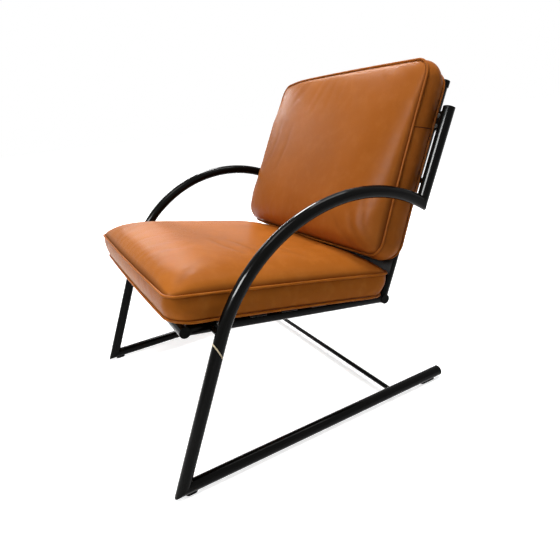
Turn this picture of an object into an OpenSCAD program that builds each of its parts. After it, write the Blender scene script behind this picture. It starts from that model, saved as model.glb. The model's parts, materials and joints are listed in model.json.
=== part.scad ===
// Cantilever lounge chair: two tube side frames, an L-shaped seat and back frame, two loose cushions.
// Millimetres. X runs across the chair, Y from front to back, Z up. The origin is on the floor,
// at the middle of the chair's width and depth.

/* [Side frames] */
// Outside diameter of the side frame tube
tube_d = 25; // [24:0.5:26]
// Wall of the side frame tube
tube_wall = 2; // [1.5:0.25:3]
// Distance between the two side frames, tube axis to tube axis
frame_w = 648; // [632:2:700]
// Angle between the floor runner and the straight leg
leg_angle = 66.7; // [65:0.1:68]
// Straight leg's axis length, from the front corner to the start of the arm arc
leg_straight = 302; // [296:1:310]
// Radius of the arm arc's axis
arm_radius = 340; // [334:1:346]
// Angle that the arm arc turns through
arm_sweep = 97.4; // [96:0.1:98.5]
// Length of the back upright above the arm's rear corner
upright_len = 196; // [190:1:206]
// Floor runner's axis length, from the front corner to the tube's rear end
runner_len = 664; // [600:2:720]

/* [Leg joint] */
// Distance along the leg from the front corner to the slanting joint
joint_at = 278; // [272:1:284]
// Angle between the joint's cut and the leg's axis
joint_cut_angle = 45; // [40:1:60]
// Thickness of the pale ring that shows at the joint
joint_ring_t = 2.5; // [1:0.5:4]
// Length of the sleeve inside each tube
joint_plug_len = 30; // [24:1:34]

/* [Floor parts] */
// Height of the glides, from the floor to the runner
glide_h = 3; // [2:0.5:5]
// Diameter of the crossbar
crossbar_d = 11; // [8:0.5:16]
// Crossbar's distance behind the front corner
crossbar_y = 518; // [420:2:560]

/* [Seat and back frame] */
// Outside diameter of the seat and back frame's tube
rail_d = 22; // [20:0.5:23]
// Wall of that tube
rail_wall = 1.5; // [1:0.25:2.5]
// Distance from a side frame's axis in to the rail's axis
rail_inset = 54; // [52:1:64]
// Seat front tube's distance behind the front corner
seat_front_y = 69; // [62:1:72]
// Seat front tube's height above the runner's axis
seat_front_rise = 290; // [286:1:296]
// Slope of the seat rails, down towards the back
seat_slope = 8.8; // [8:0.1:9.6]
// How far the back rails' axes lie behind the uprights' axes
back_set = 19.8; // [14:0.2:22]
// Lean of the back rails and uprights, above the horizontal
back_angle = 67.7; // [67:0.1:68.6]
// How far the back rails reach above the uprights' tops
back_rail_over = 63; // [50:1:90]

/* [Webbing] */
// Width of a webbing strap
strap_w = 36; // [30:1:40]
// Thickness of a webbing strap
strap_t = 2; // [1:0.5:3]
// Number of straps across the seat
seat_strap_count = 6; // [4:1:7]
// Number of straps across the back
back_strap_count = 6; // [4:1:7]

/* [Cushions] */
// Gap between a cushion's piping and the side frame's tube
cushion_side_gap = 13.5; // [12:0.5:24]
// Seat cushion's distance in front of the seat frame's rear tube axis
seat_rear_gap = 8; // [6:1:16]
// How far the seat cushion reaches in front of the front tube's axis
seat_overhang = 28; // [10:1:36]
// Back cushion's height above the back rails' ends
back_cushion_over = 10; // [0:1:24]
// Back cushion's height above the seat cushion's boxing, along the back
back_foot_gap = 40; // [36:1:60]
// Height of the seat cushion's boxing between its piping lines
seat_boxing_h = 50; // [40:1:56]
// Height of the back cushion's boxing between its piping lines
back_boxing_h = 55; // [40:1:60]
// Rise of the seat cushion's crown above its piping
seat_crown = 49; // [20:1:60]
// Rise of the back cushion's crown above its piping
back_crown = 46; // [20:1:56]

/* [Hidden] */
$fn = 96;
overrun = 1;
weld_gap = 0.1;
fit_gap = 0.2;
bead_step = 0.02;

frame_half = frame_w / 2;
rail_half = frame_half - rail_inset;
tube_r = tube_d / 2;
rail_r = rail_d / 2;
cut_block = 4 * tube_d;
mitre_run = tube_d;

// Points in the side view are [distance behind the front corner, height above the floor]
function along(p, a, s) = [p[0] + s * cos(a), p[1] + s * sin(a)];
function forward(p, a, s) = [p[0] - s * sin(a), p[1] + s * cos(a)];

front_corner = [0, glide_h + tube_r];
arc_start = along(front_corner, leg_angle, leg_straight);
arc_centre = forward(arc_start, leg_angle, -arm_radius);
arm_end_heading = leg_angle - arm_sweep;
arm_end = forward(arc_centre, arm_end_heading, arm_radius);
runner_mitre_angle = leg_angle / 2;
arm_mitre_angle = (arm_end_heading + 180 + back_angle) / 2;
joint_centre = along(front_corner, leg_angle, joint_at);
joint_plane_angle = leg_angle + joint_cut_angle;

seat_front = [seat_front_y, front_corner[1] + seat_front_rise];
seat_heading = -seat_slope;
to_arm_end = arm_end - seat_front;
seat_rail_len = (back_set + to_arm_end[0] * sin(back_angle) - to_arm_end[1] * cos(back_angle))
    / sin(back_angle - seat_heading);
seat_rear = along(seat_front, seat_heading, seat_rail_len);
l_mitre_angle = (seat_heading + 180 + back_angle) / 2;

// Where the leg's line crosses the seat rail in the side view
to_seat = seat_front - front_corner;
cross_run = (to_seat[1] * cos(seat_heading) - to_seat[0] * sin(seat_heading)) / sin(leg_angle - seat_heading);
seat_joint = along(front_corner, leg_angle, cross_run);
seat_joint_run = norm(seat_joint - seat_front);

// How far up the back rail the arm's rear end lies, and the step from a back rail to its upright
arm_end_up = (arm_end[0] - seat_rear[0]) * cos(back_angle) + (arm_end[1] - seat_rear[1]) * sin(back_angle);
back_rail_len = arm_end_up + upright_len + back_rail_over;
back_top = along(seat_rear, back_angle, back_rail_len);
back_reach = norm([rail_inset, back_set]);
back_turn = atan2(-back_set, rail_inset);

// Caps
cap_rim_t = 1.5;
cap_dome_h = 2.5;
cap_plug_len = 14;
rail_cap_skirt = 10;
rail_cap_wall = 1.6;
rail_cap_top = 2;

// Glides
glide_w = 14;
front_glide_len = 24;
rear_glide_len = 44;
glide_wrap = 2.5;
glide_stud_d = 4;
glide_stud_len = 8;
front_glide_y = 14;
rear_glide_back = 36;

// Standoffs, brackets and screws
standoff_d = 12;
screw_d = 6;
screw_head_d = 11;
screw_head_t = 4;
screw_key_d = 4.6;
screw_key_deep = 2;
screw_bite = 16;
ear_h = 40;
ear_t = 3;
ear_lap = 22;
ear_drop = 4;
ear_screw_d = 5;
ear_screw_pitch = 22;
ear_head_d = 9;
ear_head_t = 2.5;
nut_across = 8;
nut_t = 4;

// Back cross tube and plugs
back_cross_d = 18;
back_cross_drop = 34;
plug_face_t = 1.5;
plug_len = 12;

// Webbing layout: straps are spread evenly between the pieces that they have to miss
strap_gap = 3;
back_strap_low = 57;
seat_strap_first = seat_joint_run + standoff_d / 2 + strap_gap + strap_w / 2;
seat_strap_last = seat_rail_len - rail_d - strap_w / 2;
seat_strap_pitch = (seat_strap_last - seat_strap_first) / (seat_strap_count - 1);
ear_up = arm_end_up + upright_len - ear_drop - ear_h / 2;
back_cushion_lift = seat_boxing_h + back_foot_gap;
back_strap_first = back_strap_low + strap_w / 2;
back_strap_last = ear_up - ear_h / 2 - strap_gap - strap_w / 2;
back_strap_pitch = (back_strap_last - back_strap_first) / (back_strap_count - 1);
lowest_joint_up = arm_end_up + tube_d + standoff_d / 2;
straps_below_standoff = ceil((lowest_joint_up - back_strap_first) / back_strap_pitch + 1 / 2);
back_joint_up = back_strap_first + straps_below_standoff * back_strap_pitch - back_strap_pitch / 2;

// Middle of the chair's depth, from the front mitre's tip to the back rails' caps
mitre_tip_y = -tube_r / tan(runner_mitre_angle);
rail_cap_r = rail_r + fit_gap + rail_cap_wall;
cap_end = along(back_top, back_angle, rail_cap_top);
rear_most_y = cap_end[0] + rail_cap_r * sin(back_angle);
middle_y = (mitre_tip_y + rear_most_y) / 2;

// Cushion forms. A cushion lies in its own frame: X across, Y along, Z away from the webbing.
cushion_w = frame_w - tube_d - 2 * cushion_side_gap;
seat_cushion_len = seat_rail_len - seat_rear_gap + seat_overhang;
back_cushion_len = back_rail_len + back_cushion_over - back_cushion_lift;
cushion_gap = 0.3;
seat_corner_r = 24;
seat_foot_corner_r = 48;
back_corner_r = 42;
seat_side_waist = 5;
seat_front_waist = -4;
seat_rear_waist = 5;
back_side_waist = 3;
back_low_waist = 5;
back_top_waist = -2;
back_sag = 9;
seat_swell = 4;
back_swell = 8;
seat_lift_front = 12;
seat_lift_rear = 2;
back_lift_low = 2;
back_lift_top = 9;
seat_lean_front = 9;
seat_lean_rear = 0;
back_lean_low = -2;
back_lean_top = 8;
seat_belly_share = 0.12;
back_belly_share = 0.62;
crown_power = 5;
crown_fall_share = 0.5;
corner_fall_share = 0.5;
foot_fade = 46;
foot_power = 2;
foot_start_share = 0.5;
sag_power = 3;
corner_steps = 5;
side_steps = 9;
strap_wrap_angle = 50;
seat_peak_share = -0.05;
back_peak_share = -0.25;
ring_shares = [0.16, 0.34, 0.52, 0.68, 0.81, 0.91, 0.97, 1];

// Placing helpers

module chair() {
    translate([0, -middle_y, 0])
        children();
}

module on_right() {
    chair()
        children();
}

module on_left() {
    chair()
        mirror([1, 0, 0])
            children();
}

module both_sides() {
    on_left()
        children();
    on_right()
        children();
}

// Puts local +Z along a heading in the side view, with local +Y to the rear of it
module at_point(x, p, heading) {
    translate([x, p[0], p[1]])
        rotate([heading - 90, 0, 0])
            children();
}

// Removes what lies to the left of a heading in the side view
module left_half(p, heading) {
    translate([0, p[0], p[1]])
        rotate([heading, 0, 0])
            translate([-2 * frame_w, -cut_block, 0])
                cube([4 * frame_w, 2 * cut_block, cut_block]);
}

module right_half(p, heading) {
    left_half(p, heading + 180);
}

module tube_between(x, p, heading, len, d, wall) {
    at_point(x, p, heading)
        difference() {
            cylinder(d = d, h = len);
            translate([0, 0, -overrun])
                cylinder(d = d - 2 * wall, h = len + 2 * overrun);
        }
}

module rod_between(x, p, heading, len, d) {
    at_point(x, p, heading)
        cylinder(d = d, h = len);
}

// Side frame

module runner() {
    color([0.06, 0.06, 0.06])
        difference() {
            tube_between(frame_half, along(front_corner, 0, -mitre_run), 0, mitre_run + runner_len,
                tube_d, tube_wall);
            left_half(front_corner, runner_mitre_angle);
            for (y = [front_glide_y, runner_len - rear_glide_back])
                translate([frame_half, y, 0])
                    cylinder(d = glide_stud_d + 2 * fit_gap, h = front_corner[1]);
        }
}

module leg() {
    color([0.06, 0.06, 0.06])
        difference() {
            tube_between(frame_half, along(front_corner, leg_angle, -mitre_run), leg_angle,
                2 * mitre_run + joint_at, tube_d, tube_wall);
            right_half(front_corner, runner_mitre_angle);
            right_half(forward(joint_centre, joint_plane_angle, joint_ring_t / 2), joint_plane_angle);
        }
}

// Pale ring at the slanting joint, with the plug that holds the two tubes in line
module joint_sleeve() {
    color([0.82, 0.78, 0.68])
        difference() {
            union() {
                difference() {
                    rod_between(frame_half, along(joint_centre, leg_angle, -mitre_run), leg_angle,
                        2 * mitre_run, tube_d);
                    left_half(forward(joint_centre, joint_plane_angle, joint_ring_t / 2), joint_plane_angle);
                    right_half(forward(joint_centre, joint_plane_angle, -joint_ring_t / 2), joint_plane_angle);
                }
                rod_between(frame_half, along(joint_centre, leg_angle, -joint_plug_len), leg_angle,
                    2 * joint_plug_len, tube_d - 2 * tube_wall - 4 * fit_gap);
            }
            rod_between(frame_half, along(joint_centre, leg_angle, -joint_plug_len - overrun), leg_angle,
                2 * joint_plug_len + 2 * overrun, tube_d - 4 * tube_wall - 4 * fit_gap);
        }
}

// Sweeps a section round the arm's arc, and past its rear end by an extra angle
module arc_sweep(extra) {
    translate([frame_half, arc_centre[0], arc_centre[1]])
        rotate([90, 0, 90])
            rotate([0, 0, arm_end_heading + 90 - extra])
                rotate_extrude(angle = arm_sweep + extra)
                    translate([arm_radius, 0])
                        children();
}

// The straight end is drawn thinner by a hair, so that it meets the arc in a clean edge
module arm() {
    mitre_turn = mitre_run / arm_radius * 180 / PI;
    color([0.06, 0.06, 0.06])
        difference() {
            union() {
                arc_sweep(mitre_turn)
                    difference() {
                        circle(d = tube_d);
                        circle(d = tube_d - 2 * tube_wall);
                    }
                tube_between(frame_half, along(joint_centre, leg_angle, -mitre_run), leg_angle,
                    mitre_run + leg_straight - joint_at + weld_gap, tube_d - bead_step, tube_wall - bead_step);
            }
            left_half(forward(joint_centre, joint_plane_angle, -joint_ring_t / 2), joint_plane_angle);
            right_half(arm_end, arm_mitre_angle);
        }
}

module upright() {
    color([0.06, 0.06, 0.06])
        difference() {
            tube_between(frame_half, along(arm_end, back_angle, -mitre_run), back_angle,
                mitre_run + upright_len, tube_d, tube_wall);
            left_half(arm_end, arm_mitre_angle);
        }
}

// Low domed cap with a plug, seated on the end of a side frame tube; local +Z points out of the tube
module tube_cap() {
    dome_r = (tube_r * tube_r + cap_dome_h * cap_dome_h) / (2 * cap_dome_h);
    color([0.04, 0.04, 0.04])
        union() {
            intersection() {
                cylinder(d = tube_d, h = cap_rim_t + cap_dome_h);
                translate([0, 0, cap_rim_t + cap_dome_h - dome_r])
                    sphere(r = dome_r);
            }
            translate([0, 0, -cap_plug_len])
                cylinder(d = tube_d - 2 * tube_wall - 2 * fit_gap, h = cap_plug_len + cap_rim_t);
        }
}

module runner_cap() {
    at_point(frame_half, along(front_corner, 0, runner_len), 0)
        tube_cap();
}

module upright_cap() {
    at_point(frame_half, along(arm_end, back_angle, upright_len), back_angle)
        tube_cap();
}

// Pad that hugs the runner's underside, with a stud in the runner's hole
module glide(y, len) {
    color([0.05, 0.05, 0.05])
        translate([frame_half, y, 0])
            union() {
                difference() {
                    union() {
                        translate([-glide_w / 2, -(len - glide_w) / 2, 0])
                            cube([glide_w, len - glide_w, glide_h + glide_wrap]);
                        for (end = [-1, 1])
                            translate([0, end * (len - glide_w) / 2, 0])
                                cylinder(d = glide_w, h = glide_h + glide_wrap);
                    }
                    translate([0, -len, glide_h + tube_r])
                        rotate([-90, 0, 0])
                            cylinder(r = tube_r + weld_gap, h = 2 * len);
                }
                cylinder(d = glide_stud_d, h = glide_h + glide_stud_len);
            }
}

module floor_crossbar() {
    color([0.06, 0.06, 0.06])
        chair()
            difference() {
                translate([-frame_half, crossbar_y, front_corner[1]])
                    rotate([0, 90, 0])
                        cylinder(d = crossbar_d, h = frame_w);
                for (x = [-frame_half, frame_half])
                    rod_between(x, along(front_corner, 0, crossbar_y - tube_d), 0, 2 * tube_d,
                        tube_d + 2 * weld_gap);
            }
}

// Seat and back frame

module cross_tube(p, d, half, wall) {
    translate([-half, p[0], p[1]])
        rotate([0, 90, 0])
            difference() {
                cylinder(d = d, h = 2 * half);
                translate([0, 0, -overrun])
                    cylinder(d = d - 2 * wall, h = 2 * half + 2 * overrun);
            }
}

module cross_core(p, d, half) {
    translate([-half, p[0], p[1]])
        rotate([0, 90, 0])
            cylinder(d = d, h = 2 * half);
}

module seat_front_tube() {
    color([0.06, 0.06, 0.06])
        chair()
            cross_tube(seat_front, rail_d, rail_half + rail_r, rail_wall);
}

module seat_rear_tube() {
    color([0.06, 0.06, 0.06])
        chair()
            cross_tube(seat_rear, rail_d, rail_half + rail_r, rail_wall);
}

module seat_rail() {
    color([0.06, 0.06, 0.06])
        difference() {
            tube_between(rail_half, seat_front, seat_heading, seat_rail_len, rail_d, rail_wall);
            for (p = [seat_front, seat_rear])
                cross_core(p, rail_d + 2 * weld_gap, frame_half);
            right_half(seat_rear, l_mitre_angle);
            at_seat_joint()
                screw_hole();
        }
}

module back_rail() {
    color([0.06, 0.06, 0.06])
        difference() {
            tube_between(rail_half, seat_rear, back_angle, back_rail_len, rail_d, rail_wall);
            cross_core(seat_rear, rail_d + 2 * weld_gap, frame_half);
            left_half(seat_rear, l_mitre_angle);
            at_back_joint(back_joint_up)
                screw_hole();
        }
}

module back_rail_cap() {
    color([0.04, 0.04, 0.04])
        at_point(rail_half, back_top, back_angle)
            difference() {
                translate([0, 0, -rail_cap_skirt])
                    cylinder(r = rail_cap_r, h = rail_cap_skirt + rail_cap_top);
                translate([0, 0, -rail_cap_skirt - overrun])
                    cylinder(r = rail_r + fit_gap, h = rail_cap_skirt + overrun);
            }
}

module back_cross_tube() {
    color([0.06, 0.06, 0.06])
        chair()
            difference() {
                cross_tube(along(seat_rear, back_angle, back_rail_len - back_cross_drop), back_cross_d,
                    rail_half, rail_wall);
                for (x = [-rail_half, rail_half])
                    rod_between(x, seat_rear, back_angle, back_rail_len, rail_d + 2 * weld_gap);
            }
}

module seat_frame_plugs() {
    color([0.04, 0.04, 0.04])
        both_sides()
            for (p = [seat_front, seat_rear])
                translate([rail_half + rail_r, p[0], p[1]])
                    rotate([0, 90, 0])
                        union() {
                            cylinder(d = rail_d, h = plug_face_t);
                            translate([0, 0, -plug_len])
                                cylinder(d = rail_d - 2 * rail_wall - 2 * fit_gap, h = plug_len + plug_face_t);
                        }
}

// Standoffs and brackets. Both joint frames have their origin on the rail's axis and +X towards
// the side frame's tube.

module at_seat_joint() {
    translate([rail_half, seat_joint[0], seat_joint[1]])
        children();
}

module at_back_joint(up) {
    at_point(rail_half, along(seat_rear, back_angle, up), back_angle)
        rotate([0, 0, back_turn])
            children();
}

module along_x(x) {
    translate([x, 0, 0])
        rotate([0, 90, 0])
            children();
}

module screw_hole() {
    along_x(-rail_d)
        cylinder(d = screw_d + 2 * fit_gap, h = 2 * rail_d + screw_bite);
}

module seat_standoff() {
    color([0.06, 0.06, 0.06])
        difference() {
            at_seat_joint()
                along_x(0)
                    cylinder(d = standoff_d, h = rail_inset);
            at_seat_joint()
                screw_hole();
            rod_between(rail_half, seat_front, seat_heading, seat_rail_len, rail_d + 2 * weld_gap);
            rod_between(frame_half, joint_centre, leg_angle, leg_straight - joint_at + standoff_d,
                tube_d + 2 * weld_gap);
        }
}

module back_standoff() {
    color([0.06, 0.06, 0.06])
        difference() {
            at_back_joint(back_joint_up)
                along_x(0)
                    cylinder(d = standoff_d, h = back_reach);
            at_back_joint(back_joint_up)
                screw_hole();
            rod_between(rail_half, seat_rear, back_angle, back_rail_len, rail_d + 2 * weld_gap);
            rod_between(frame_half, arm_end, back_angle, upright_len, tube_d + 2 * weld_gap);
        }
}

// Button head that bears on the rail's inner side, with a hexagon key recess
module screw_head() {
    difference() {
        along_x(-rail_r - screw_head_t)
            cylinder(d = screw_head_d, h = 2 * screw_head_t);
        along_x(-rail_r - screw_head_t - overrun)
            cylinder(d = screw_key_d, h = screw_key_deep + overrun, $fn = 6);
    }
}

module screw_shank() {
    along_x(-rail_r - screw_head_t + screw_key_deep + overrun)
        cylinder(d = screw_d, h = rail_d + screw_bite);
}

module seat_screw() {
    difference() {
        at_seat_joint()
            screw_head();
        rod_between(rail_half, seat_front, seat_heading, seat_rail_len, rail_d + 2 * weld_gap);
    }
    at_seat_joint()
        screw_shank();
}

module back_screw() {
    difference() {
        at_back_joint(back_joint_up)
            screw_head();
        rod_between(rail_half, seat_rear, back_angle, back_rail_len, rail_d + 2 * weld_gap);
    }
    at_back_joint(back_joint_up)
        screw_shank();
}

module standoff_screws() {
    color([0.3, 0.3, 0.3])
        both_sides() {
            seat_screw();
            back_screw();
        }
}

// Two lapped plates join the upright's top to the back rail
ear_mid = (rail_r + back_reach - tube_r) / 2;

module ear_holes() {
    for (step = [-1, 1])
        translate([ear_mid, 0, step * ear_screw_pitch / 2])
            rotate([90, 0, 0])
                cylinder(d = ear_screw_d + 2 * fit_gap, h = 4 * ear_t, center = true);
}

module upright_ear() {
    color([0.06, 0.06, 0.06])
        difference() {
            at_back_joint(ear_up)
                difference() {
                    translate([ear_mid - ear_lap / 2, -ear_t, -ear_h / 2])
                        cube([back_reach - ear_mid + ear_lap / 2, ear_t, ear_h]);
                    ear_holes();
                }
            rod_between(frame_half, arm_end, back_angle, upright_len, tube_d + 2 * weld_gap);
        }
}

module rail_ear() {
    color([0.06, 0.06, 0.06])
        difference() {
            at_back_joint(ear_up)
                difference() {
                    translate([0, 0, -ear_h / 2])
                        cube([ear_mid + ear_lap / 2, ear_t, ear_h]);
                    ear_holes();
                }
            rod_between(rail_half, seat_rear, back_angle, back_rail_len, rail_d + 2 * weld_gap);
        }
}

module ear_screws() {
    color([0.75, 0.75, 0.75])
        both_sides()
            at_back_joint(ear_up)
                for (step = [-1, 1])
                    translate([ear_mid, -ear_t, step * ear_screw_pitch / 2])
                        rotate([-90, 0, 0])
                            union() {
                                translate([0, 0, -ear_head_t])
                                    cylinder(d = ear_head_d, h = ear_head_t);
                                cylinder(d = ear_screw_d, h = 2 * ear_t + nut_t + overrun);
                            }
}

module ear_nuts() {
    color([0.7, 0.7, 0.7])
        both_sides()
            at_back_joint(ear_up)
                for (step = [-1, 1])
                    translate([ear_mid, ear_t, step * ear_screw_pitch / 2])
                        rotate([-90, 0, 0])
                            difference() {
                                cylinder(d = nut_across / cos(30), h = nut_t, $fn = 6);
                                translate([0, 0, -overrun])
                                    cylinder(d = ear_screw_d + fit_gap, h = nut_t + 2 * overrun);
                            }
}

// Webbing strap across two rails, in a frame whose +Z runs along the rails and -Y faces the sitter
module strap() {
    inner_r = rail_r + fit_gap;
    translate([0, 0, -strap_w / 2])
        union() {
            translate([-rail_half, -inner_r - strap_t, 0])
                cube([2 * rail_half, strap_t, strap_w]);
            for (side = [0, 1])
                mirror([side, 0, 0])
                    translate([rail_half, 0, 0])
                        rotate([0, 0, -90])
                            rotate_extrude(angle = strap_wrap_angle)
                                translate([inner_r, 0])
                                    square([strap_t, strap_w]);
        }
}

module seat_straps() {
    color([0.1, 0.1, 0.1])
        chair()
            for (i = [0 : seat_strap_count - 1])
                at_point(0, along(seat_front, seat_heading, seat_strap_first + i * seat_strap_pitch), seat_heading)
                    strap();
}

module back_straps() {
    color([0.1, 0.1, 0.1])
        chair()
            for (i = [0 : back_strap_count - 1])
                at_point(0, along(seat_rear, back_angle, back_strap_first + i * back_strap_pitch), back_angle)
                    strap();
}

// Cushion outline in plan, counter-clockwise, with rounded corners and sides that pull in between
// them. The waists are those of both sides, of the -Y end and of the +Y end.
function side_points(from, to, inward) = [
    for (i = [1 : side_steps - 1])
        let (t = i / side_steps)
            from + t * (to - from) + inward * 4 * t * (1 - t)
];
function corner_points(centre, r, start) = [
    for (i = [0 : corner_steps])
        centre + r * [cos(start + 90 * i / corner_steps), sin(start + 90 * i / corner_steps)]
];
function cushion_outline(a, b, r, waists) = concat(
    corner_points([a - r, b - r], r, 0),
    side_points([a - r, b], [r - a, b], [0, -waists[2]]),
    corner_points([r - a, b - r], r, 90),
    side_points([-a, b - r], [-a, r - b], [waists[0], 0]),
    corner_points([r - a, r - b], r, 180),
    side_points([r - a, -b], [a - r, -b], [0, waists[1]]),
    corner_points([a - r, r - b], r, 270),
    side_points([a, r - b], [a, b - r], [-waists[0], 0])
);

// Cushion solid: flat where it rests, piping lines lifted at the edges, boxing that swells, and a
// crown. Pairs hold the value at the -Y end and at the +Y end: lift is the lower piping's height,
// lean is how far the upper piping lies outside the lower one. corner_rs are the corner radii of the
// lower and upper piping, and sag is how far the upper piping hangs past the -Y end in its middle.
// peak_share is the crown's place along Y from the middle, and belly_share is how much fuller the
// crown is at the -Y end.
module cushion(len, h, crown, corner_rs, waists, lift, lean, swell, sag, peak_share, belly_share) {
    a = cushion_w / 2;
    b = len / 2;
    outline_at = function(t) cushion_outline(a, b, corner_rs[0] + (corner_rs[1] - corner_rs[0]) * t, waists);
    n = len(outline_at(0));
    peak = [0, peak_share * b];
    foot_shares = [foot_start_share, 1 - foot_fade / a, 1 - foot_fade / a / 2];
    between = function(pair, y) pair[0] + (pair[1] - pair[0]) * (y + b) / (2 * b);
    rise = function(p) between(lift, p[1]);
    hang = function(p) sag * (1 - p[0] * p[0] / a / a) * pow(max(0, -p[1] / b), sag_power);
    leant = function(p, t)
        [p[0], p[1] + t * ((lean[1] * (b + p[1]) - lean[0] * (b - p[1])) / (2 * b) - hang(p))];
    at = function(p, share, z) [peak[0] * (1 - share) + p[0] * share, peak[1] * (1 - share) + p[1] * share, z];
    foot = [
        for (s = foot_shares)
            [for (p = outline_at(0)) at(p, s, rise(p) * pow(max(0, 1 - (1 - s) * a / foot_fade), foot_power))]
    ];
    boxing = [
        for (t = [0, 1 / 3, 2 / 3])
            let (bulge = swell * sin(180 * t))
                [
                    for (p = outline_at(t))
                        let (q = leant(p, t))
                            [q[0] * (1 + bulge / a), q[1] * (1 + bulge / b), rise(p) + h * t]
                ]
    ];
    dome = [
        for (i = [len(ring_shares) - 1 : -1 : 0])
            let (s = ring_shares[i])
                [
                    for (p = outline_at(1))
                        let (q = at(leant(p, 1), s, 0), corner = pow(q[0] * q[1] / a / b, 2))
                            [
                                q[0], q[1],
                                rise(p) * s + rise(peak) * (1 - s) + h
                                    + crown * (1 - belly_share * q[1] / b) * (1 - corner_fall_share * corner)
                                        * pow(1 - pow(s, crown_power), crown_fall_share)
                            ]
                ]
    ];
    rings = concat(foot, boxing, dome);
    points = concat(
        [at(peak, 0, 0)],
        [for (ring = rings) each ring],
        [at(peak, 0, rise(peak) + h + crown * (1 - belly_share * peak_share))]
    );
    last = len(points) - 1;
    bands = [
        for (k = [0 : len(rings) - 2], i = [0 : n - 1])
            let (low = 1 + k * n, next = (i + 1) % n)
                each [
                    [low + i, low + n + i, low + n + next],
                    [low + i, low + n + next, low + next]
                ]
    ];
    foot_fan = [for (i = [0 : n - 1]) [0, 1 + i, 1 + (i + 1) % n]];
    dome_fan = [for (i = [0 : n - 1]) [last, last - n + (i + 1) % n, last - n + i]];
    polyhedron(points = points, faces = concat(foot_fan, bands, dome_fan));
}

// Lays a cushion's frame on the webbing of a pair of rails
module lay_on(p, heading, run) {
    chair()
        translate([0, p[0], p[1]])
            rotate([heading, 0, 0])
                translate([0, run, rail_r + fit_gap + strap_t + cushion_gap])
                    children();
}

module seat_cushion() {
    color([0.62, 0.33, 0.12])
        lay_on(seat_front, seat_heading, seat_cushion_len / 2 - seat_overhang)
            cushion(seat_cushion_len, seat_boxing_h, seat_crown, [seat_foot_corner_r, seat_corner_r],
                [seat_side_waist, seat_front_waist, seat_rear_waist],
                [seat_lift_front, seat_lift_rear], [seat_lean_front, seat_lean_rear],
                seat_swell, 0, seat_peak_share, seat_belly_share);
}

module back_cushion() {
    color([0.58, 0.31, 0.12])
        lay_on(seat_rear, back_angle, back_cushion_lift + back_cushion_len / 2)
            cushion(back_cushion_len, back_boxing_h, back_crown, [back_corner_r, back_corner_r],
                [back_side_waist, back_low_waist, back_top_waist],
                [back_lift_low, back_lift_top], [back_lean_low, back_lean_top],
                back_swell, back_sag, back_peak_share, back_belly_share);
}

on_left() runner();  // runner_left
on_right() runner();  // runner_right
on_left() leg();  // leg_left
on_right() leg();  // leg_right
on_left() joint_sleeve();  // joint_sleeve_left
on_right() joint_sleeve();  // joint_sleeve_right
on_left() arm();  // arm_left
on_right() arm();  // arm_right
on_left() upright();  // upright_left
on_right() upright();  // upright_right
on_left() upright_cap();  // upright_cap_left
on_right() upright_cap();  // upright_cap_right
on_left() runner_cap();  // runner_cap_left
on_right() runner_cap();  // runner_cap_right
on_left() glide(front_glide_y, front_glide_len);  // front_glide_left
on_right() glide(front_glide_y, front_glide_len);  // front_glide_right
on_left() glide(runner_len - rear_glide_back, rear_glide_len);  // rear_glide_left
on_right() glide(runner_len - rear_glide_back, rear_glide_len);  // rear_glide_right
floor_crossbar();
on_left() seat_rail();  // seat_rail_left
on_right() seat_rail();  // seat_rail_right
seat_front_tube();
seat_rear_tube();
seat_frame_plugs();
on_left() back_rail();  // back_rail_left
on_right() back_rail();  // back_rail_right
on_left() back_rail_cap();  // back_rail_cap_left
on_right() back_rail_cap();  // back_rail_cap_right
back_cross_tube();
on_left() seat_standoff();  // seat_standoff_left
on_right() seat_standoff();  // seat_standoff_right
on_left() back_standoff();  // back_standoff_left
on_right() back_standoff();  // back_standoff_right
on_left() upright_ear();  // upright_ear_left
on_right() upright_ear();  // upright_ear_right
on_left() rail_ear();  // rail_ear_left
on_right() rail_ear();  // rail_ear_right
standoff_screws();
ear_screws();
ear_nuts();
seat_straps();
back_straps();
seat_cushion();
back_cushion();
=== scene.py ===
import json
import math
import bpy
import numpy as np
from mathutils import Matrix, Vector


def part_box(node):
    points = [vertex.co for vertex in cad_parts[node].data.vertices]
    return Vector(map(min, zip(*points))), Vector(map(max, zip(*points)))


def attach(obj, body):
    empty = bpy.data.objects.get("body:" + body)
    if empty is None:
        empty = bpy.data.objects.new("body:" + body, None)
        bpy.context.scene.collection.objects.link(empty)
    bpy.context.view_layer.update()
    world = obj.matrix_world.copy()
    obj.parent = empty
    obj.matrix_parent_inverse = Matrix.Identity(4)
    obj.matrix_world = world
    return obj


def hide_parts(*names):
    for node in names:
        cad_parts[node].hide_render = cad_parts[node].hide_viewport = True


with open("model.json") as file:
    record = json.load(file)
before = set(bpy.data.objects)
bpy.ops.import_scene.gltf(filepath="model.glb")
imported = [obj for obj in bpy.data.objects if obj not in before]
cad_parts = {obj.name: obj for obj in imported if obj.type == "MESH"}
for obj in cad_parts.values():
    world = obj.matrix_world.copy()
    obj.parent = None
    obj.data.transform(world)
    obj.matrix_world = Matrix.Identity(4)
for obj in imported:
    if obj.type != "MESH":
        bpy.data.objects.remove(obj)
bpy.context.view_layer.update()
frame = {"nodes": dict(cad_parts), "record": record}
nodes = frame["nodes"]
scene = bpy.context.scene
scene.view_settings.view_transform = "Standard"
print("stage: frame loaded")

# Camera, solved on the photo's tubes
camera = {
    "place": (1.0393, -0.4797, 0.6760),
    "azimuth": 62.50,
    "elevation": 20.73,
    "roll": -5.97,
    "lens": 30.02,
}


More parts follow.
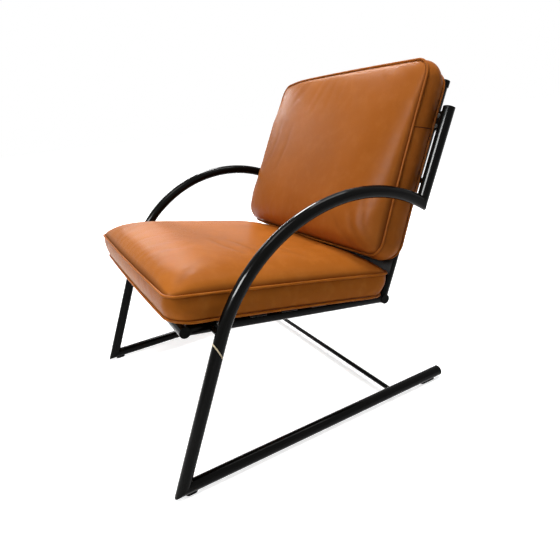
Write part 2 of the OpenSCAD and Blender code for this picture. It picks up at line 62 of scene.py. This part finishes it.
def makeCamera(c):
    a, e, r = (math.radians(c[k]) for k in ("azimuth", "elevation", "roll"))
    forward = Vector((-math.sin(a) * math.cos(e), math.cos(a) * math.cos(e), -math.sin(e)))
    right = Vector((math.cos(a), math.sin(a), 0))
    up = right.cross(forward)
    rolledRight = math.cos(r) * right + math.sin(r) * up
    rolledUp = -math.sin(r) * right + math.cos(r) * up
    m = Matrix((rolledRight, rolledUp, -forward)).transposed().to_4x4()
    m.translation = Vector(c["place"])
    data = bpy.data.cameras.new("photoCamera")
    data.lens, data.sensor_width = c["lens"], 36
    data.clip_start, data.clip_end = 0.05, 60
    o = bpy.data.objects.new("photoCamera", data)
    scene.collection.objects.link(o)
    o.matrix_world = m
    scene.camera = o


makeCamera(camera)


# Small node-graph helpers
class Graph:
    def __init__(self, name):
        self.material = bpy.data.materials.new(name)
        self.material.use_nodes = True
        self.tree = self.material.node_tree
        self.shader = self.tree.nodes["Principled BSDF"]

    def add(self, kind, **values):
        n = self.tree.nodes.new(kind)
        for k, v in values.items():
            if k in n.inputs:
                self.feed(n.inputs[k], v)
            else:
                setattr(n, k, v)
        return n

    def feed(self, socket, v):
        if isinstance(v, bpy.types.NodeSocket):
            self.tree.links.new(v, socket)
        else:
            socket.default_value = v

    def math(self, op, a, b=0.0, c=None):
        n = self.tree.nodes.new("ShaderNodeMath")
        n.operation = op
        for s, v in zip(n.inputs, (a, b, c)):
            if v is not None:
                self.feed(s, v)
        return n.outputs[0]

    def ramp(self, value, low, high, to=(0.0, 1.0)):
        n = self.tree.nodes.new("ShaderNodeMapRange")
        n.interpolation_type = "SMOOTHSTEP"
        for s, v in zip(n.inputs, (value, low, high, *to)):
            self.feed(s, v)
        return n.outputs[0]

    def mix(self, factor, a, b):
        n = self.tree.nodes.new("ShaderNodeMix")
        n.data_type = "RGBA"
        self.feed(n.inputs[0], factor)
        self.feed(n.inputs[6], a)
        self.feed(n.inputs[7], b)
        return n.outputs[2]

    def place(self):
        return self.add("ShaderNodeTexCoord").outputs["Object"]

    def noise(self, at, scale, detail=3.0, rough=0.5, distort=0.0):
        n = self.add("ShaderNodeTexNoise", Vector=at, Scale=scale, Detail=detail)
        self.feed(n.inputs["Roughness"], rough)
        self.feed(n.inputs["Distortion"], distort)
        return n.outputs["Fac"]

    def cells(self, at, scale, feature="F1"):
        n = self.add("ShaderNodeTexVoronoi", Vector=at, Scale=scale)
        n.feature = feature
        return n.outputs["Distance"]

    def attribute(self, name):
        return self.add("ShaderNodeAttribute", attribute_name=name).outputs["Fac"]

    def bumps(self, *layers):
        normal = None
        for height, strength, distance in layers:
            n = self.add("ShaderNodeBump", Height=height, Strength=strength, Distance=distance)
            if normal is not None:
                self.feed(n.inputs["Normal"], normal)
            normal = n.outputs["Normal"]
        self.feed(self.shader.inputs["Normal"], normal)

    def set(self, **values):
        for k, v in values.items():
            self.feed(self.shader.inputs[k.replace("_", " ")], v)


def leather(name, body, dark, light, rough):
    g = Graph(name)
    at = g.place()
    broad = g.noise(at, 5.0, 2.0)
    mottled = g.noise(at, 34.0, 4.0, 0.6)
    pores = g.cells(at, 900.0)
    grain = g.cells(at, 520.0, "DISTANCE_TO_EDGE")
    fine = g.noise(at, 1400.0, 2.0)
    wrinkle = g.noise(at, 60.0, 5.0, 0.62, 1.2)
    creaseShade = g.attribute("creaseShade")
    wear = g.attribute("wear")
    tone = g.mix(g.ramp(broad, 0.35, 0.7), dark, body)
    tone = g.mix(g.math("MULTIPLY", g.ramp(mottled, 0.42, 0.75), 0.35), tone, light)
    tone = g.mix(g.math("MULTIPLY", g.ramp(grain, 0.0, 0.06, (1, 0)), 0.16), tone, dark)
    tone = g.mix(g.math("MULTIPLY", wear, 0.55), tone, light)
    # Painted shade: the crease attribute darkens the tone in the sculpted creases and along the piping
    # seams, and makes them rougher
    paintedShadeTone = (dark[0] * 0.2, dark[1] * 0.16, dark[2] * 0.15, 1)
    tone = g.mix(g.math("MULTIPLY", creaseShade, 0.8), tone, paintedShadeTone)
    g.set(Base_Color=tone, Specular_IOR_Level=0.02)
    shine = g.math("MULTIPLY_ADD", mottled, 0.16, rough - 0.08)
    shine = g.math("MULTIPLY_ADD", creaseShade, 0.2, shine)
    g.set(Roughness=g.math("MULTIPLY_ADD", g.ramp(pores, 0.1, 0.5), 0.05, shine))
    g.bumps(
        (wrinkle, 0.16, 0.0012),
        (g.ramp(grain, 0.0, 0.12), 0.22, 0.00022),
        (fine, 0.12, 0.00012),
    )
    return g.material


def paint(name, colour, rough, coat):
    g = Graph(name)
    at = g.place()
    orangePeel = g.noise(at, 420.0, 2.0)
    haze = g.noise(at, 14.0, 4.0, 0.6)
    specks = g.ramp(g.noise(at, 900.0, 1.0), 0.74, 0.8)
    tone = g.mix(g.math("MULTIPLY", g.ramp(haze, 0.5, 0.8), 0.3), colour, (0.008, 0.0078, 0.007, 1))
    g.set(Base_Color=g.mix(g.math("MULTIPLY", specks, 0.2), tone, (0.03, 0.029, 0.027, 1)))
    g.set(Specular_IOR_Level=0.02, Coat_Weight=coat, Coat_Roughness=0.08, Coat_IOR=1.13)
    g.set(Roughness=g.math("MULTIPLY_ADD", haze, 0.14, rough - 0.07))
    g.bumps((orangePeel, 0.1, 0.0003))
    return g.material


def shade(colour, factor):
    return tuple(c * factor for c in colour[:3]) + (1,)


def plastic(name, colour, rough):
    g = Graph(name)
    at = g.place()
    grain = g.noise(at, 1500.0, 2.0)
    soft = g.noise(at, 25.0, 3.0)
    g.set(Base_Color=g.mix(g.math("MULTIPLY", soft, 0.4), colour, shade(colour, 1.7)))
    g.set(Roughness=g.math("MULTIPLY_ADD", soft, 0.12, rough - 0.06), Specular_IOR_Level=0.04)
    g.bumps((grain, 0.15, 0.0001))
    return g.material


def steel(name, colour, rough):
    g = Graph(name)
    at = g.place()
    spin = g.noise(at, 700.0, 3.0, 0.7)
    blotch = g.noise(at, 120.0, 3.0)
    g.set(Base_Color=g.mix(g.ramp(blotch, 0.35, 0.7), colour, shade(colour, 0.72)))
    g.set(Metallic=1.0, Roughness=g.math("MULTIPLY_ADD", spin, 0.2, rough - 0.1))
    g.bumps((spin, 0.12, 0.0001))
    return g.material


def webbing(name):
    g = Graph(name)
    at = g.place()
    across = g.add("ShaderNodeTexWave", Vector=at, Scale=300.0, Distortion=0.4)
    across.bands_direction = "X"
    ribs = g.add("ShaderNodeTexWave", Vector=at, Scale=210.0, Distortion=0.3)
    ribs.bands_direction = "Z"
    weave = g.math("MULTIPLY", across.outputs["Fac"], ribs.outputs["Fac"])
    fuzz = g.noise(at, 900.0, 3.0)
    g.set(Base_Color=g.mix(weave, (0.006, 0.006, 0.006, 1), (0.03, 0.029, 0.028, 1)))
    g.set(Roughness=0.82, Sheen_Weight=0.3, Sheen_Roughness=0.5, Specular_IOR_Level=0.2)
    g.bumps((weave, 0.6, 0.0006), (fuzz, 0.2, 0.0002))
    return g.material


# Each leather's body, dark and light colours and its roughness. The back's leather is the seat's leather
# made darker: painted shade.
leathers = {
    "seatLeather": ((0.47, 0.142, 0.018, 1), (0.40, 0.116, 0.014, 1), (0.54, 0.180, 0.032, 1), 0.27),
    "backLeatherShaded": ((0.39, 0.117, 0.018, 1), (0.34, 0.098, 0.014, 1), (0.44, 0.146, 0.030, 1), 0.3),
    # seamShade is painted shade: the dark colour of the cross seams' grooves
    "seamShade": ((0.10, 0.030, 0.008, 1), (0.07, 0.02, 0.006, 1), (0.16, 0.05, 0.014, 1), 0.6),
}
looks = {name: leather(name, *values) for name, values in leathers.items()}
looks.update({
    "blackTube": paint("blackTube", (0.0022, 0.0021, 0.0018, 1), 0.2, 0.9),
    "blackPlastic": plastic("blackPlastic", (0.0025, 0.0025, 0.0023, 1), 0.5),
    "creamSleeve": plastic("creamSleeve", (0.62, 0.53, 0.36, 1), 0.3),
    "zincSteel": steel("zincSteel", (0.62, 0.61, 0.58, 1), 0.32),
    "darkSteel": steel("darkSteel", (0.10, 0.10, 0.10, 1), 0.4),
    "blackWebbing": webbing("blackWebbing"),
})
slotLook = {
    "black_tube": "blackTube",
    "cream_sleeve": "creamSleeve",
    "black_plastic": "blackPlastic",
    "dark_fasteners": "darkSteel",
    "zinc_fasteners": "zincSteel",
    "black_webbing": "blackWebbing",
    "cognac_leather": "backLeatherShaded",
}
for row in frame["record"]["subparts"]:
    mesh = nodes[row["node"]].data
    mesh.materials.clear()
    mesh.materials.append(looks[slotLook[row["material_slot"]]])
print("stage: CAD nodes have their materials")


def meshPiece(name, points, faces, look):
    mesh = bpy.data.meshes.new(name)
    mesh.from_pydata([tuple(p) for p in points], [], faces)
    mesh.validate()
    mesh.update()
    mesh.polygons.foreach_set("use_smooth", [True] * len(mesh.polygons))
    mesh.materials.append(looks[look])
    o = bpy.data.objects.new(name, mesh)
    scene.collection.objects.link(o)
    return o


# A round tube along a line of points, which is a closed loop or has flat ends
def tubeAlong(points, radius, sides, closed=True, facing=None):
    pts = np.asarray(points, float)
    n = len(pts)
    if closed:
        tangent = np.roll(pts, -1, 0) - np.roll(pts, 1, 0)
    else:
        tangent = np.gradient(pts, axis=0)
    tangent /= np.linalg.norm(tangent, axis=1)[:, None] + 1e-12
    if facing is None:
        facing = np.tile((0.0, 0.0, 1.0), (n, 1))
    side = facing - (facing * tangent).sum(1)[:, None] * tangent
    side /= np.linalg.norm(side, axis=1)[:, None] + 1e-12
    other = np.cross(tangent, side)
    radii = np.broadcast_to(np.asarray(radius, float), (n,))
    rings = []
    for k in range(sides):
        t = 2 * math.pi * k / sides
        rings.append(pts + radii[:, None] * (math.cos(t) * side + math.sin(t) * other))
    verts = np.stack(rings, 1).reshape(-1, 3)
    faces = []
    for i in range(n if closed else n - 1):
        j = (i + 1) % n
        for k in range(sides):
            m = (k + 1) % sides
            faces.append((i * sides + k, i * sides + m, j * sides + m, j * sides + k))
    if not closed:
        faces.append(tuple(range(sides - 1, -1, -1)))
        faces.append(tuple((n - 1) * sides + k for k in range(sides)))
    return verts, faces


# Cushions: form in each cushion's own frame, X across, Y along the rails, Z away from the webbing.
# Pairs hold the value at the -Y end and at the +Y end, and corners those of the lower and upper piping.
# Creases are strokes in plan: a few points, then the crease's half width and its depth. Pushes are places
# in plan with their reach and the move there.
seatFront = sum(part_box("seat_front_tube"), Vector()) / 2
seatRear = sum(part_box("seat_rear_tube"), Vector()) / 2
seatHeading, backHeading = -8.8, 67.7
seatPad = {
    "name": "seatCushionCover", "node": "seat_cushion", "body": "seat_pad", "look": "seatLeather",
    "origin": seatFront, "heading": seatHeading, "skew": 0.0, "run": 0.219, "rise": 0.0135,
    "half": 0.298, "length": 0.494, "corners": (0.048, 0.024), "boxing": 0.050, "crown": 0.049,
    "lift": (0.012, 0.002), "lean": (0.009, 0.0), "swell": 0.004, "waists": (0.005, -0.004, 0.005),
    "sag": 0.0, "peak": -0.05, "belly": 0.12, "power": 5.0, "fall": 0.5, "ruffle": 0.15,
    "creases": [
        (((0.07, -0.09), (0.14, -0.085), (0.22, -0.06)), 0.010, 0.0019),
        (((0.09, -0.05), (0.15, -0.04), (0.22, -0.02)), 0.009, 0.0016),
        (((0.12, 0.02), (0.18, 0.03), (0.24, 0.06)), 0.014, 0.0009),
        (((0.285, -0.235), (0.26, -0.21), (0.24, -0.185)), 0.012, 0.0014),
    ],
    "pushes": [
        ((-0.22, 0.23), 0.06, (0, 0, -0.007)),
        ((0.10, 0.235), 0.09, (0, 0, -0.003)),
    ],
}
backPad = {
    "name": "backCushionCover", "node": "back_cushion", "body": "back_pad", "look": "backLeatherShaded",
    "origin": seatRear, "heading": backHeading, "skew": 0.7, "run": 0.2905, "rise": 0.0135,
    "half": 0.298, "length": 0.406, "corners": (0.042, 0.036), "boxing": 0.055, "crown": 0.046,
    "lift": (0.002, 0.009), "lean": (-0.002, 0.008), "swell": 0.008, "waists": (0.003, 0.005, -0.002),
    "sag": 0.009, "peak": -0.25, "belly": 0.62, "power": 5.0, "fall": 0.5, "ruffle": 0.15,
    "creases": [
        (((0.288, -0.180), (0.262, -0.14), (0.252, -0.09)), 0.009, 0.0020),
        (((0.272, -0.186), (0.24, -0.15), (0.222, -0.11)), 0.010, 0.0018),
        (((0.250, -0.190), (0.21, -0.165), (0.18, -0.135)), 0.010, 0.0012),
        (((-0.285, -0.175), (-0.255, -0.13), (-0.24, -0.09)), 0.011, 0.0014),
        (((-0.20, 0.10), (-0.19, 0.04), (-0.20, -0.03)), 0.012, 0.0007),
        (((-0.13, 0.08), (-0.125, 0.02), (-0.14, -0.05)), 0.012, 0.0006),
    ],
    "pushes": [
        ((-0.29, 0.19), 0.07, (0.006, -0.004, -0.008)),
    ],
}
cell = 0.006
footFade = 0.046
sagPower = 3


def padFrame(c):
    m = Matrix.Translation(c["origin"]) @ Matrix.Rotation(math.radians(c["heading"]), 4, "X")
    m = m @ Matrix.Translation((0, c["run"], c["rise"]))
    return np.array(m @ Matrix.Rotation(math.radians(c["skew"]), 4, "Z"))


# Plan of the pad with rounded corners of radius r and with the drawn-in or bulging sides of its waists
def planGrid(c, r):
    a, b, nominal = c["half"], c["length"] / 2, c["corners"][1]
    around = max(3, round(nominal / cell))

    def steps(half):
        inner = np.linspace(r - half, half - r, round(2 * (half - nominal) / cell) + 1)
        edge = np.linspace(0, r, around + 1)[1:]
        return np.concatenate([r - half - edge[::-1], inner, half - r + edge])

    x, y = np.meshgrid(steps(a), steps(b), indexing="ij")
    p = np.clip((np.abs(x) - (a - r)) / r, 0, 1)
    q = np.clip((np.abs(y) - (b - r)) / r, 0, 1)
    px = p * np.sqrt(1 - q * q / 2)
    qy = q * np.sqrt(1 - p * p / 2)
    x = np.sign(x) * (np.minimum(np.abs(x), a - r) + px * r)
    y = np.sign(y) * (np.minimum(np.abs(y), b - r) + qy * r)
    sides, low, high = c["waists"]
    pullX = sides * (1 - (y / b) ** 2) * x / a
    pullY = np.where(y < 0, low, high) * (1 - (x / a) ** 2) * y / b
    return np.stack([x - pullX, y - pullY], -1)


def pushed(c, points, share):
    for (x, y), reach, move in c["pushes"]:
        near = np.exp(-((points[..., 0] - x) ** 2 + (points[..., 1] - y) ** 2) / reach ** 2)
        points = points + (near * share)[..., None] * np.array(move)
    return points


# A pad's points in three parts: crowned top and flat sole on the plan's grid, boxing in rows between them
def padParts(c, rise):
    a, b = c["half"], c["length"] / 2
    low, high = (planGrid(c, r) for r in c["corners"])
    nx, ny = low.shape[:2]

    def place(i, j, t):
        across, along = np.moveaxis((low * (1 - t) + high * t)[i, j], -1, 0)
        y1 = along + t * (c["lean"][1] * (b + along) - c["lean"][0] * (b - along)) / (2 * b)
        y1 = y1 - t * c["sag"] * (1 - (across / a) ** 2) * np.clip(-along / b, 0, 1) ** sagPower
        bulge = c["swell"] * math.sin(math.pi * t)
        z = c["lift"][0] + (c["lift"][1] - c["lift"][0]) * (along + b) / (2 * b) + c["boxing"] * t
        return np.stack([across * (1 + bulge / a), y1 * (1 + bulge / b), z], -1)

    i, j = np.indices((nx, ny))
    top = place(i, j, 1)
    x, y = top[..., 0], top[..., 1]
    dy = y - c["peak"] * b
    reach = np.where(dy > 0, y[:, -1:] - c["peak"] * b, c["peak"] * b - y[:, :1])
    sx = np.clip(np.abs(x) / np.abs(x).max(0)[None, :], 0, 1)
    sy = np.clip(np.abs(dy) / reach, 0, 1)
    dome = ((1 - sx ** c["power"]) * (1 - sy ** c["power"])) ** c["fall"]
    top[..., 2] += rise * c["crown"] * dome * (1 - c["belly"] * y / b)
    fromEdge = np.minimum(np.minimum(i, nx - 1 - i), np.minimum(j, ny - 1 - j)) * cell
    sole = place(i, j, 0)
    sole[..., 2] *= np.clip(1 - fromEdge / footFade, 0, 1) ** 2
    loop = [(k, 0) for k in range(nx - 1)] + [(nx - 1, k) for k in range(ny - 1)]
    loop += [(k, ny - 1) for k in range(nx - 1, 0, -1)] + [(0, k) for k in range(ny - 1, 0, -1)]
    li, lj = np.array(loop).T
    rows = max(4, round(c["boxing"] / cell))
    boxing = np.array([place(li, lj, k / rows) for k in range(1, rows)])
    heights = np.arange(1, rows)[:, None] / rows * np.ones(len(li))
    return pushed(c, top, np.ones((nx, ny))), sole, pushed(c, boxing, heights), (li, lj)


def padFaces(shape, loop, rows):
    nx, ny = shape
    n, m = nx * ny, len(loop[0])
    faces = []
    for i in range(nx - 1):
        for j in range(ny - 1):
            q = (i * ny + j, (i + 1) * ny + j, (i + 1) * ny + j + 1, i * ny + j + 1)
            faces.append(q)
            faces.append(tuple(n + v for v in reversed(q)))
    edge = loop[0] * ny + loop[1]
    rings = [n + edge, *(2 * n + k * m + np.arange(m) for k in range(rows)), edge]
    for low, high in zip(rings, rings[1:]):
        for t in range(m):
            u = (t + 1) % m
            faces.append((int(low[t]), int(low[u]), int(high[u]), int(high[t])))
    return faces, rings


stuffing = {
    "start": 0.6, "cap": 0.025, "frames": 20, "pressure": 4.0, "mass": 0.25, "stretch": 22, "shear": 12,
    "bend": 1.6, "damping": 4, "slack": -0.025,
}


# Fills a cover by cloth pressure, held at its piping and sole, and gives each point's move
def inflate(o, held):
    group = o.vertex_groups.new(name="sewn")
    group.add([int(i) for i in held], 1.0, "REPLACE")
    before = np.array([v.co for v in o.data.vertices])
    cloth = o.modifiers.new("stuffing", "CLOTH")
    settings = cloth.settings
    settings.quality = 6
    settings.mass = stuffing["mass"]
    settings.tension_stiffness = settings.compression_stiffness = stuffing["stretch"]
    settings.shear_stiffness = stuffing["shear"]
    settings.bending_stiffness = stuffing["bend"]
    settings.air_damping = stuffing["damping"]
    settings.use_pressure = True
    settings.uniform_pressure_force = stuffing["pressure"]
    settings.shrink_min = stuffing["slack"]
    settings.vertex_group_mass = "sewn"
    settings.effector_weights.gravity = 0
    cloth.collision_settings.use_collision = False
    cloth.point_cache.frame_start, cloth.point_cache.frame_end = 1, stuffing["frames"]
    for f in range(1, stuffing["frames"] + 1):
        scene.frame_set(f)
    filled = o.evaluated_get(bpy.context.evaluated_depsgraph_get())
    move = np.array([v.co for v in filled.data.vertices]) - before
    o.modifiers.remove(cloth)
    o.vertex_groups.remove(group)
    scene.frame_set(1)
    size = np.linalg.norm(move, axis=1)
    print("stage: inflated", o.name, "by up to", round(float(size.max()), 4))
    return move * np.minimum(1, stuffing["cap"] / (size + 1e-9))[:, None]


# What is left of a field when its broad part is taken away, with its edges held
def ripples(field, rounds, wrap):
    broad = field.copy()
    for _ in range(rounds):
        if wrap:
            near = np.roll(broad, 1, 1) + np.roll(broad, -1, 1)
            broad[1:-1] = (broad[:-2] + broad[2:] + near[1:-1]) / 4
        else:
            near = broad[:-2, 1:-1] + broad[2:, 1:-1] + broad[1:-1, :-2] + broad[1:-1, 2:]
            broad[1:-1, 1:-1] = near / 4
    return field - broad


# Distance in plan to a crease's stroke, and how strong the crease is there: it fades at both ends
def strokeDistance(x, y, stroke):
    best = np.full(x.shape, np.inf)
    ends = np.zeros(x.shape)
    total = len(stroke) - 1
    for k, ((x0, y0), (x1, y1)) in enumerate(zip(stroke, stroke[1:])):
        dx, dy = x1 - x0, y1 - y0
        t = np.clip(((x - x0) * dx + (y - y0) * dy) / (dx * dx + dy * dy), 0, 1)
        d = np.hypot(x - x0 - t * dx, y - y0 - t * dy)
        ends = np.where(d < best, (k + t) / total, ends)
        best = np.minimum(best, d)
    return best, np.sin(np.pi * np.clip(ends, 0.03, 0.97)) ** 0.5


smoothRounds = 40
strokeShade = 0.22
wearReach = 0.12
wearMost = 0.6


# A cushion's cover: the cloth step gives only its ripples, which go on the cushion's own form
def makePad(c):
    top, sole, boxing, loop = padParts(c, stuffing["start"])
    n, m, rows = top.shape[0] * top.shape[1], len(loop[0]), len(boxing)
    faces, rings = padFaces(top.shape[:2], loop, rows)
    points = np.concatenate([q.reshape(-1, 3) for q in (top, sole, boxing)])
    o = meshPiece(c["name"], points, faces, c["look"])
    held = np.unique(np.concatenate([np.arange(n, 2 * n), rings[0], rings[-1]]))
    move = np.zeros(points.shape)
    move = inflate(o, held)
    top, sole, boxing, loop = padParts(c, 1.0)
    top += c["ruffle"] * ripples(move[:n].reshape(top.shape), smoothRounds, False)
    band = np.zeros((rows + 2, m, 3))
    band[1:-1] = move[2 * n:].reshape(boxing.shape)
    boxing += c["ruffle"] * ripples(band, smoothRounds, True)[1:-1]
    creaseShade = np.zeros(len(points))
    worn = np.zeros(len(points))
    x, y = top[..., 0].copy(), top[..., 1].copy()
    # Each crease is dug into the top, and strokeShade paints it darker there: painted shade in the crease
    for stroke, width, depth in c["creases"]:
        d, fade = strokeDistance(x, y, stroke)
        q = (d / width) ** 2
        top[..., 2] -= depth * fade * (1 - 0.9 * q) * np.exp(-q)
        creaseShade[:n] = np.maximum(creaseShade[:n], (strokeShade * fade * np.exp(-4 * q)).ravel())
    # Painted shade along both piping seams, at full strength
    for ring in (rings[0], rings[-1]):
        creaseShade[ring] = 1.0
    edge = np.minimum(1 - np.abs(x) / c["half"], 1 - np.abs(y) * 2 / c["length"])
    worn[:n] = np.clip(1 - edge.ravel() / wearReach, 0, 1) * wearMost
    points = np.concatenate([q.reshape(-1, 3) for q in (top, sole, boxing)])
    o.data.vertices.foreach_set("co", points.ravel())
    for label, values in (("creaseShade", creaseShade), ("wear", worn)):
        o.data.attributes.new(label, "FLOAT", "POINT").data.foreach_set("value", values)
    o.data.transform(Matrix(padFrame(c).tolist()))
    o.data.update()
    sub = o.modifiers.new("soften", "SUBSURF")
    sub.levels = sub.render_levels = 1
    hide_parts(c["node"])
    return o, rings


piping = {"radius": 0.0026, "sides": 12, "out": 0.0016, "proud": 0.0006}


# Piping along one of the cover's two edge lines
def pipe(c, label, line, away, sign):
    out = line - line.mean(0)
    out -= (out @ away)[:, None] * away
    out /= np.linalg.norm(out, axis=1)[:, None]
    welt = line + out * piping["out"] + away * piping["proud"] * sign
    v, f = tubeAlong(welt, piping["radius"], piping["sides"], facing=np.tile(away, (len(line), 1)))
    return meshPiece(c["name"].replace("Cover", "Piping") + label, v, f, c["look"])


seam = {"radius": 0.0009, "sides": 8, "proud": 0.0002, "share": 0.71, "slant": 0.010}


# Seam across one side's boxing, at a share of the cushion's length from its -Y end, slanting to the top.
# It is a thin dark tube: painted shade of the seam's groove.
def crossSeam(c, label, rings, co, side):
    m = padFrame(c)
    local = (co - m[:3, 3]) @ m[:3, :3]
    line = []
    for k, ring in enumerate(rings):
        y = (seam["share"] - 0.5) * c["length"] - seam["slant"] * k / (len(rings) - 1)
        q = local[ring]
        q = q[q[:, 0] * side > 0.9 * c["half"]]
        q = q[np.argsort(q[:, 1])]
        line.append([np.interp(y, q[:, 1], q[:, i]) for i in range(3)])
    line = np.array(line) + (seam["proud"] * side, 0, 0)
    v, f = tubeAlong(line, seam["radius"], seam["sides"], closed=False)
    name = c["name"].replace("Cover", "CrossSeam") + label
    return meshPiece(name, v @ m[:3, :3].T + m[:3, 3], f, "seamShade")


bead = {"radius": 0.0011, "uneven": 0.0002, "beats": 10, "points": 40, "sides": 8}


# Weld beads: the line where one round tube butts on another, as a thin uneven bead
def weldLine(centre, along, across, radius, host, side):
    t = np.linspace(0, 2 * math.pi, bead["points"], endpoint=False)
    along, across = np.array(along, float), np.array(across, float)
    other = np.cross(along, across)
    reach = side * np.sqrt(np.maximum(host ** 2 - (radius * np.sin(t)) ** 2, 0))
    ring = radius * (np.cos(t)[:, None] * across + np.sin(t)[:, None] * other)
    return np.array(centre) + ring + reach[:, None] * along


def weld(name, line, out):
    n = len(line)
    beat = np.sin(np.arange(n) * 2 * math.pi * bead["beats"] / n)
    radii = bead["radius"] + bead["uneven"] * beat
    v, f = tubeAlong(line, radii, bead["sides"], facing=np.tile(out, (n, 1)))
    piece = meshPiece(name, v, f, "blackTube")
    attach(piece, "frame")


# Middle of a CAD node and half its size
def middle(node):
    lo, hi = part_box(node)
    return (lo + hi) / 2, (hi - lo) / 2


def railWay(heading):
    return Vector((0, math.cos(math.radians(heading)), math.sin(math.radians(heading))))


barAt, barHalf = middle("floor_crossbar")
frontAt, frontHalf = middle("seat_front_tube")
rearAt = middle("seat_rear_tube")[0]
seatAlong, backAlong = railWay(seatHeading), railWay(backHeading)
sideways = (1, 0, 0)
for label, side in (("left", -1), ("right", 1)):
    runnerAt, runnerHalf = middle("runner_" + label)
    at = (runnerAt.x, barAt.y, barAt.z)
    line = weldLine(at, sideways, (0, 1, 0), barHalf.z, runnerHalf.x, -side)
    weld("crossbarWeld" + label.title(), line, sideways)
    railAt, railHalf = middle("seat_rail_" + label)
    for end, tubeAt, reach, along in (
        ("Front", frontAt, 1, seatAlong),
        ("Rear", rearAt, -1, seatAlong),
        ("Back", rearAt, 1, backAlong),
    ):
        centre = (railAt.x, tubeAt.y, tubeAt.z)
        line = weldLine(centre, along, sideways, railHalf.x, frontHalf.z, reach)
        weld("rail" + end + "Weld" + label.title(), line, along)
print("stage: welds made")

for c in (seatPad, backPad):
    cover, rings = makePad(c)
    co = np.array([v.co for v in cover.data.vertices])
    away = padFrame(c)[:3, 2]
    parts = [cover, pipe(c, "Front", co[rings[-1]], away, 1), pipe(c, "Rear", co[rings[0]], away, -1)]
    if c is backPad:
        for label, side in (("Left", -1), ("Right", 1)):
            parts.append(crossSeam(c, label, rings, co, side))
    for piece in parts:
        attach(piece, c["body"])
    print("stage: made", c["name"])


# The floor's glow rises from its first to its second value between the ring's two radii, to meet the
# white surround. Ambient is the surround's light on matt surfaces.
studio = {
    "floorHalf": 14, "floorShade": 0.82, "glowRing": (0.4, 1.9), "glow": (0.7, 1.0),
    "ambient": 0.08, "surround": 1.0,
}


# Studio: pale floor and white surround
def makeStudio():
    mesh = bpy.data.meshes.new("studioFloor")
    w = studio["floorHalf"]
    mesh.from_pydata([(-w, -w, 0), (w, -w, 0), (w, w, 0), (-w, w, 0)], [], [(0, 1, 2, 3)])
    floor = bpy.data.objects.new("studioFloor", mesh)
    scene.collection.objects.link(floor)
    g = Graph("studioFloor")
    tone = studio["floorShade"]
    g.set(Base_Color=(tone, tone, tone, 1), Roughness=0.9, Specular_IOR_Level=0.1)
    path = g.tree.nodes.new("ShaderNodeLightPath")
    seen = g.math("MAXIMUM", path.outputs["Is Camera Ray"], path.outputs["Is Glossy Ray"])
    away = g.add("ShaderNodeVectorMath", operation="LENGTH")
    g.feed(away.inputs[0], g.place())
    glow = g.ramp(away.outputs["Value"], *studio["glowRing"], studio["glow"])
    g.set(Emission_Color=(1, 1, 1, 1), Emission_Strength=g.math("MULTIPLY", seen, glow))
    mesh.materials.append(g.material)
    world = bpy.data.worlds.new("studio")
    scene.world = world
    world.use_nodes = True
    t = world.node_tree
    back = t.nodes["Background"]
    path = t.nodes.new("ShaderNodeLightPath")
    top = t.nodes.new("ShaderNodeMath")
    top.operation = "MAXIMUM"
    t.links.new(path.outputs["Is Camera Ray"], top.inputs[0])
    t.links.new(path.outputs["Is Transmission Ray"], top.inputs[1])
    glossy = t.nodes.new("ShaderNodeMath")
    glossy.operation = "MAXIMUM"
    t.links.new(top.outputs[0], glossy.inputs[0])
    t.links.new(path.outputs["Is Glossy Ray"], glossy.inputs[1])
    level = t.nodes.new("ShaderNodeMapRange")
    t.links.new(glossy.outputs[0], level.inputs["Value"])
    level.inputs["To Min"].default_value = studio["ambient"]
    level.inputs["To Max"].default_value = studio["surround"]
    back.inputs["Color"].default_value = (1, 1, 1, 1)
    t.links.new(level.outputs[0], back.inputs["Strength"])


# A lamp lights the matt part of a surface, its gloss, or both
def lamp(name, place, target, size, power, matt=True, gloss=True):
    data = bpy.data.lights.new(name, "AREA")
    data.shape = "RECTANGLE"
    data.size, data.size_y = size
    data.energy = power
    o = bpy.data.objects.new(name, data)
    scene.collection.objects.link(o)
    o.visible_camera = False
    o.visible_diffuse = matt
    o.visible_glossy = gloss
    o.location = place
    o.rotation_euler = (Vector(target) - Vector(place)).to_track_quat("-Z", "Y").to_euler()


makeStudio()
lamp("windowLow", (-2.2, 0.1, 1.3), (0.1, -0.2, 0.42), (0.86, 0.09), 12, matt=False)
lamp("windowHigh", (-2.0, 0.6, 2.7), (0.1, -0.2, 0.42), (0.7, 0.7), 85, matt=False)
lamp("windowShade", (-2.2, 0.77, 0.92), (0, 0, 0.42), (0.16, 0.16), 48, gloss=False)
lamp("frontGlint", (0.87, -2.27, 2.03), (0.33, 0.27, 0.53), (1.3, 0.7), 300, matt=False)
lamp("frontFill", (0.9, -2.6, 1.9), (0, 0.1, 0.4), (1.4, 0.9), 28)
lamp("ceiling", (0.33, -0.73, 2.5), (0, -0.05, 0.42), (1.0, 0.8), 26)
lamp("overhead", (0.1, 0.7, 2.5), (0, -0.05, 0.42), (0.9, 0.9), 28)
print("stage: studio ready")
